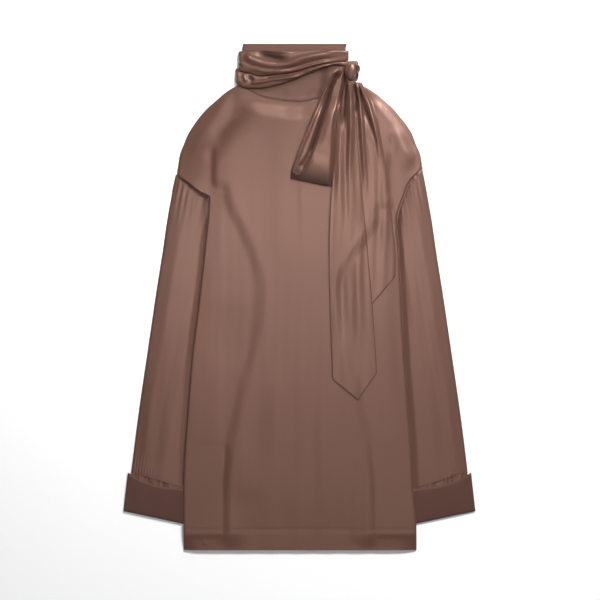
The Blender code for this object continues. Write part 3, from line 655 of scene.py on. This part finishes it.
def scarf_turn(name, upper_edge, lower_edge, ends, behind, folds, hollows, rise):
    """One turn: columns run round the neck and rows across the strip."""
    left, right = ends[0] + WRAP_CORNER, ends[1] - WRAP_CORNER
    share = close_at_ends(WRAP_ROWS, 0.6)[:, None]
    front_line = np.linspace(left, right, WRAP_COLUMNS)[None, :]

    def over(across):
        up = mix(curve(lower_edge, across), curve(upper_edge, across), share)
        full = soft((72.0 - across) / 60.0)
        arch = np.sin(math.pi * np.clip(share, 0.0, 1.0)) ** 0.55
        puff = (rise * arch + creases(across, up, folds)) * (0.35 + 0.65 * full)
        sunk = np.minimum(1.0, creases(across, up, hollows))
        top = WRAP_BASE + 0.9 + puff * (1.0 - sunk)
        # The third value is painted shade: the hollows, and the strip's upper and lower edges where its
        # arch falls away, are painted darker.
        return up, np.maximum(top, WRAP_BASE + 0.7), np.maximum(sunk, 0.55 * (1.0 - arch) ** 2)

    front_up, front_lift, front_painted_shade = over(front_line)
    angle = np.radians(np.linspace(80.0, -80.0, 9))[None, :]
    blocks = [(front_line + 0.0 * share, front_up, front_lift)]
    for centre, sign, turn in ((right, 1.0, angle), (left, -1.0, angle[:, ::-1])):
        up, lift, _ = over(np.full((1, 1), centre))
        down = mix(up, mix(behind[0], behind[1], share), (1.0 - np.sin(turn)) / 2.0)
        blocks.append((centre + sign * WRAP_CORNER * np.cos(turn) + 0.0 * share, down,
                       lift / 2.0 + lift / 2.0 * np.sin(turn)))
    back_line = np.linspace(right, left, BEHIND_COLUMNS)[None, :]
    back = (back_line + 0.0 * share, mix(behind[0], behind[1], share) + 0.0 * back_line,
            np.zeros((share.size, back_line.size)))
    order = [blocks[0], blocks[1], back, blocks[2]]
    whole = [np.concatenate([block[axis] for block in order], axis=1) for axis in (0, 1, 2)]
    run = np.cumsum(np.hypot(np.diff(whole[0], axis=1, prepend=whole[0][:, :1]),
                             np.diff(whole[2], axis=1, prepend=whole[2][:, :1])), axis=1)
    width = share * STRIP_HALF + 0.0 * run
    # Only the front of each turn carries painted shade.
    painted_shade = np.zeros(run.shape)
    painted_shade[:, :front_line.size] = front_painted_shade
    piece = cloth(name, *whole, around=True, threads=(width, run), painted_shade=painted_shade)
    piece.data.materials.append(scarf_satin)
    return piece


split_above = [Place(p.across, p.up + 0.8) for p in WRAP_SPLIT]
wrap_upper = scarf_turn("scarf_wrap_upper_cloth", WRAP_UPPER_EDGE, split_above, (-100.0, 81.0),
                        (808.5, 822.0), UPPER_FOLDS, UPPER_HOLLOWS, 4.2)
wrap_lower = scarf_turn("scarf_wrap_lower_cloth", WRAP_SPLIT, WRAP_LOWER_EDGE, (-105.0, 97.0),
                        (773.0, 795.0), LOWER_FOLDS, LOWER_HOLLOWS, 3.6)
for turn, node in ((wrap_upper, "scarf_wrap_upper"), (wrap_lower, "scarf_wrap_lower")):
    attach(turn, "root")
    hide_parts(node)


# The knot: the scarf's end passed tightly round itself at the right of the neck, in a fat little
# turn with furrows, and a curl of its edge that stands out beside it.

KNOT_CENTRE = (84.0, 787.5, 13.2)
KNOT_HALF = (10.0, 15.5, 6.2)
CURL_CENTRE = (93.8, 791.5, 13.4)
CURL_REACH = (4.0, 5.8)
CURL_THICK = 1.5
tilt = np.radians(np.linspace(-86.0, 86.0, 60))[:, None]
turn = np.linspace(0.0, 2.0 * math.pi, 96, endpoint=False)[None, :]
unit_y = np.sin(tilt)
twist = turn + 0.9 * unit_y
furrow = 1.0 - 0.14 * (0.5 + 0.5 * np.cos(3.0 * twist + 0.6 * np.sin(2.0 * twist))) ** 2
furrow = furrow - 0.05 * (0.5 + 0.5 * np.cos(7.0 * twist + 1.0)) ** 3
across = KNOT_CENTRE[0] + KNOT_HALF[0] * np.cos(tilt) * np.cos(turn) * furrow
up = KNOT_CENTRE[1] + KNOT_HALF[1] * unit_y + 0.0 * turn
lift = KNOT_CENTRE[2] + KNOT_HALF[2] * np.cos(tilt) * np.sin(turn) * furrow
knot = cloth("scarf_knot_cloth", across, up, lift, around=True, flip=True,
             threads=(10.0 * turn + 0.0 * tilt, 15.0 * tilt + 0.0 * turn))
knot.data.materials.append(scarf_satin)
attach(knot, "root")
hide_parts("scarf_knot")
bend = np.radians(np.linspace(-105.0, 105.0, 60))[:, None]
ring = np.linspace(0.0, 2.0 * math.pi, 24, endpoint=False)[None, :]
thick = CURL_THICK * (1.0 - 0.25 * np.cos(bend) + 0.15 * np.cos(3.0 * ring))
across = CURL_CENTRE[0] + (CURL_REACH[0] + thick * np.cos(ring)) * np.cos(bend)
up = CURL_CENTRE[1] + (CURL_REACH[1] + thick * np.cos(ring)) * np.sin(bend)
lift = CURL_CENTRE[2] + 2.0 * thick * np.sin(ring) + 0.0 * bend
curl = cloth("scarf_curl_cloth", across, up, lift, wall=0.5, around=True,
             threads=(4.0 * ring + 0.0 * bend, 6.0 * bend + 0.0 * ring))
curl.data.materials.append(scarf_satin)
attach(curl, "root")
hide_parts("scarf_curl")


# The bow's loop: the strip folded on itself, with one deep pleat down its left side. It lies on
# the front, and its lower end rolls under.

LOOP_LEFT = [Place(74, 796), Place(66, 795), Place(57, 791), Place(47, 777), Place(35, 750),
             Place(17, 708), Place(1, 666), Place(-14, 624), Place(-15, 611)]
LOOP_RIGHT = [Place(78, 788), Place(84, 760), Place(82, 720), Place(77, 680), Place(74, 650),
              Place(66, 594)]
LOOP_FOLDS = [
    Fold(2.2, 5, 0.1, 0.15, [(66, 792), (55, 784), (44, 760), (34, 736), (22, 706), (6, 668), (-9, 630)]),
    Fold(1.6, 14, 0.3, 0.3, [(56, 730), (46, 690), (40, 655)]),
    Fold(1.8, 3.5, 0.1, 0.3, [(-14, 624), (-5, 616), (1, 617), (9, 625), (17, 637), (25, 648)]),
]
LOOP_HOLLOWS = [
    Fold(0.96, 6, 0.1, 0.15, [(72, 788), (58, 778), (51, 762), (44, 734), (35, 706), (26, 678), (19, 658),
                              (12, 640)]),
    Fold(0.40, 7, 0.3, 0.3, [(17, 650), (8, 636), (0, 626)]),
    Fold(0.8, 5, 0.2, 0.3, [(74, 786), (72, 760), (68, 730)]),
]
LOOP_ROWS = 120
LOOP_COLUMNS = 80
LOOP_LENGTH = 185.0
LOOP_FOOT = 48.0
run = close_at_ends(LOOP_ROWS, 0.4)[::-1, None]
share = close_at_ends(LOOP_COLUMNS, 0.5)[None, :]
left, right = along(LOOP_LEFT, run), along(LOOP_RIGHT, run)
across = mix(left[0], right[0], share)
up = mix(left[1], right[1], share)
ground = front_top(across, up) + REST
TAIL_LONG_LEFT = [Edge(771, 77), Edge(735, 67), Edge(698, 60), Edge(645, 57), Edge(609, 54),
                  Edge(563, 50), Edge(492, 48), Edge(383, 50), Edge(281, 54)]
pressed = soft((curve(TAIL_LONG_LEFT, up) - across) / 8.0)
crown = mix(7.0, 6.6, soft(run / 0.5)) + 4.0 * soft((run - 0.45) / 0.35)
body = 3.0 + (crown - 3.0) * pressed + creases(across, up, LOOP_FOLDS) * np.maximum(pressed, 0.15)
sunk = np.minimum(0.95, creases(across, up, LOOP_HOLLOWS))
body = body * (1.0 - sunk)
foot = 1.0 - np.clip((1.0 - run) * LOOP_LENGTH / LOOP_FOOT, 0.0, 1.0)
lift = ground + 0.8 + np.maximum(body, 0.3) * np.sqrt(1.0 - 0.98 * foot ** 2)
lift = rolled(lift, ground + 0.8, (share + 0.004) * 60.0, 2.5)
# Painted shade: the hollows and the rolled-under foot are painted darker, fading out at the loop's left
# edge.
painted_shade = np.maximum(sunk, 0.75 * soft((foot - 0.25) / 0.75)) * soft(share / 0.03)
loop = cloth("scarf_loop_cloth", across, up, lift, painted_shade=painted_shade)
loop.data.materials.append(scarf_satin)
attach(loop, "root")
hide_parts("scarf_loop")


# The scarf's two ends hang from the knot, doubled cloth with pointed feet. Fan folds open below
# the knot. The long one lies over the loop's side and over the short one.

TAIL_LONG_RIGHT = [Edge(771, 88), Edge(718, 91), Edge(610, 101), Edge(459, 115), Edge(413, 119),
                   Edge(383, 121), Edge(313, 126), Edge(292, 127)]
TAIL_LONG_TIP = Place(0.58, 40)
TAIL_SHORT_LEFT = [Edge(770, 90), Edge(718, 86), Edge(610, 90), Edge(459, 92), Edge(430, 94)]
TAIL_SHORT_RIGHT = [Edge(770, 102), Edge(760, 108), Edge(733, 123), Edge(634, 141), Edge(610, 144),
                    Edge(535, 153), Edge(484, 158), Edge(451, 158)]
TAIL_SHORT_TIP = Place(0.35, 36)
TAIL_THICK = 1.4
SHORT_FOLDS = [
    Fold(3.6, 6, 0.02, 0.6, [(90, 768), (99, 738), (102, 700), (106, 640), (110, 570)]),
    Fold(3.6, 7, 0.02, 0.6, [(99, 766), (112, 738), (122, 704), (131, 660), (136, 610)]),
    Fold(-1.0, 5, 0.1, 0.5, [(103, 700), (112, 621)]),
    Fold(0.9, 14, 0.3, 0.4, [(136, 640), (142, 560), (144, 480)]),
]
SHORT_HOLLOWS = [
    Fold(1.0, 5, 0.05, 0.3, [(90, 768), (94, 740), (92, 712)]),
    Fold(0.9, 4, 0.1, 0.5, [(97, 762), (101, 746), (107, 726), (114, 708), (123, 678), (129, 655)]),
]
LONG_FOLDS = [
    Fold(3.0, 4, 0.02, 0.5, [(74, 771), (72, 748), (70, 722), (67, 690)]),
    Fold(4.2, 7, 0.02, 0.6, [(81, 770), (84, 740), (84, 700), (82, 640), (80, 600)]),
    Fold(0.9, 9, 0.1, 0.5, [(68, 700), (66, 640), (64, 560)]),
    Fold(0.9, 9, 0.2, 0.5, [(97, 690), (98, 620), (100, 540)]),
    Fold(-0.6, 8, 0.2, 0.5, [(74, 660), (75, 600), (78, 500)]),
    Fold(0.8, 14, 0.3, 0.3, [(90, 520), (96, 420), (100, 330)]),
    Fold(-0.6, 12, 0.3, 0.3, [(68, 480), (70, 400), (74, 330)]),
]
LONG_HOLLOWS = [
    Fold(1.0, 3.5, 0.05, 0.35, [(77, 773), (75.5, 745), (74, 715), (73, 690)]),
]


def tail(name, left, right, tip, tip_run, rows, columns, ground, folds, hollows):
    """A hanging end with soft edges and a point at its foot."""
    run = close_at_ends(rows, 0.3)[::-1, None]
    share = close_at_ends(columns, 0.5)[None, :]
    left_up, right_up = mix(left[0].up, left[-1].up, run), mix(right[0].up, right[-1].up, run)
    across = mix(curve(left, left_up), curve(right, right_up), share)
    slope = np.where(share < tip.across, share / tip.across, (1.0 - share) / (1.0 - tip.across))
    up = mix(left_up, right_up, share) - tip.up * slope * soft((run - tip_run) / (1.0 - tip_run))
    waves = 0.22 * drape(across, up, 19.0, 0.7) * soft(share / 0.1) * soft((1.0 - share) / 0.1)
    puff = 0.9 * np.sin(math.pi * share) ** 0.6
    low = ground(across, up, share)
    body = TAIL_THICK + puff + np.maximum(creases(across, up, folds) + waves, -0.9)
    sunk = np.minimum(1.0, creases(across, up, hollows))
    lift = low + body * (1.0 - 0.92 * sunk)
    edge = np.minimum(share, 1.0 - share) * np.abs(across[:, -1:] - across[:, :1])
    lift = rolled(lift, low + 0.5, edge + 0.15, 2.0)
    lift = rolled(lift, low + 0.5, (1.0 - run) * 300.0 + 0.15, 2.0)
    # Painted shade: the fan folds' hollows are painted darker too.
    piece = cloth(name, across, up, lift, painted_shade=sunk)
    piece.data.materials.append(scarf_satin)
    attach(piece, "root")
    return piece


def short_ground(across, up, share):
    return front_top(across, up) + REST + 1.2 * soft((up - 715.0) / 45.0)


def long_ground(across, up, share):
    over_loop = 4.3 * soft((up - 380.0) / 212.0) * (1.0 - 0.4 * soft((share - 0.7) / 0.3))
    over_short = 2.6 * soft((up - 200.0) / 203.0) * soft(share / 0.8)
    below = np.maximum(over_loop, over_short)
    return front_top(across, up) + REST + below + 1.2 * soft((up - 705.0) / 50.0)


tail_short = tail("scarf_tail_short_cloth", TAIL_SHORT_LEFT, TAIL_SHORT_RIGHT, TAIL_SHORT_TIP,
                  tip_run=0.86, rows=190, columns=70, ground=short_ground, folds=SHORT_FOLDS,
                  hollows=SHORT_HOLLOWS)
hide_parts("scarf_tail_short")
tail_long = tail("scarf_tail_long_cloth", TAIL_LONG_LEFT, TAIL_LONG_RIGHT, TAIL_LONG_TIP,
                 tip_run=0.90, rows=260, columns=76, ground=long_ground, folds=LONG_FOLDS,
                 hollows=LONG_HOLLOWS)
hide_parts("scarf_tail_long")


# The setting: a plain pale surface, a big soft key light beyond the collar, two soft boxes above
# for the satin's shine, and a camera that looks straight down.

FLOOR_HALF = 1.6
FLOOR_DROP = 0.0005
CAMERA_PLACE = (0.0008, -0.005, 2.3375)
bpy.ops.mesh.primitive_plane_add(size=2.0 * FLOOR_HALF, location=(0.0, 0.0, -FLOOR_DROP))
floor = bpy.context.object
floor.name = "floor"
pale = bpy.data.materials.new("pale_surface")
pale.use_nodes = True
pale.node_tree.nodes["Principled BSDF"].inputs["Base Color"].default_value = (0.93, 0.93, 0.93, 1.0)
pale.node_tree.nodes["Principled BSDF"].inputs["Roughness"].default_value = 0.9
floor.data.materials.append(pale)


def soft_box(name, place, aim, size, power, spread):
    """An area light aimed at a point, with a grid that narrows its beam."""
    lamp = bpy.data.lights.new(name, "AREA")
    lamp.spread = math.radians(spread)
    lamp.shape = "RECTANGLE"
    lamp.size, lamp.size_y = size
    lamp.energy = power
    box = bpy.data.objects.new(name, lamp)
    box.location = place
    way = np.array(aim) - np.array(place)
    flat = math.hypot(way[0], way[1])
    box.rotation_euler = (math.atan2(flat, -way[2]), 0.0, math.atan2(-way[0], way[1]))
    bpy.context.collection.objects.link(box)


soft_box("key", (1.0, 1.9, 2.0), (0.0, 0.0, 0.0), (0.9, 0.6), 116.0, 180.0)
soft_box("shine", (-0.03, 0.28, 2.3), (-0.01, 0.12, 0.0), (0.8, 0.45), 0.36, 18.0)
soft_box("low_shine", (0.10, -0.62, 2.3), (0.02, -0.25, 0.0), (1.2, 0.6), 0.9, 60.0)
bpy.context.scene.view_settings.view_transform = "Standard"
world = bpy.data.worlds.new("studio")
world.use_nodes = True
world.node_tree.nodes["Background"].inputs["Color"].default_value = (1.0, 1.0, 1.0, 1.0)
world.node_tree.nodes["Background"].inputs["Strength"].default_value = 0.28
bpy.context.scene.world = world
lens = bpy.data.cameras.new("camera")
lens.lens = 85.0
lens.sensor_width = 36.0
camera = bpy.data.objects.new("camera", lens)
camera.location = CAMERA_PLACE
bpy.context.collection.objects.link(camera)
bpy.context.scene.camera = camera
